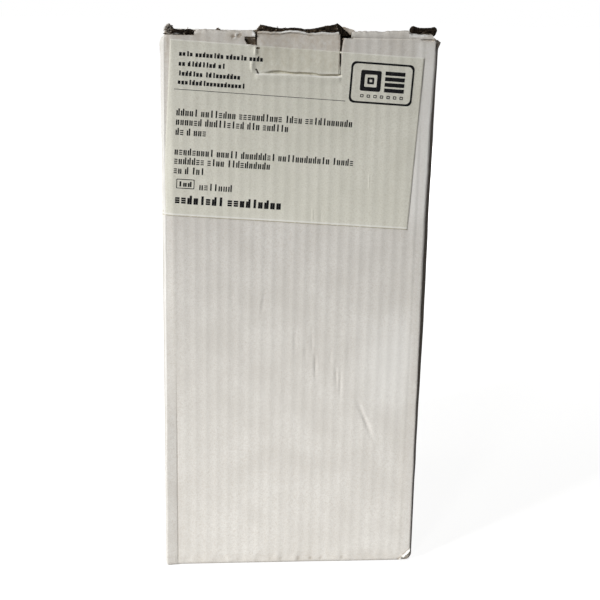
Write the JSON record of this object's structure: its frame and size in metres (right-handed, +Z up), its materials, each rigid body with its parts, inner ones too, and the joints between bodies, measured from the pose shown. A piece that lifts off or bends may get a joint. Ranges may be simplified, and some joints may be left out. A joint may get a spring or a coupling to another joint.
{
  "type": "corrugated board carton",
  "caption": "Upright sealed carton of white corrugated board with a tuck-in lid, a locking tab in the front and a paper label over the tab.",
  "frame": {"origin": "middle of the base, on the surface that the carton stands on", "axes": "+Z up along the carton's height, -Y out of the labelled front, +X to the right as the front is faced"},
  "size_m": [0.107, 0.1072, 0.228],
  "materials": {
    "board": "matte white liner over corrugated board",
    "label_paper": "matte uncoated label paper"
  },
  "bodies": {
    "root": {"carton": "board", "label": "label_paper"}
  },
  "joints": []
}
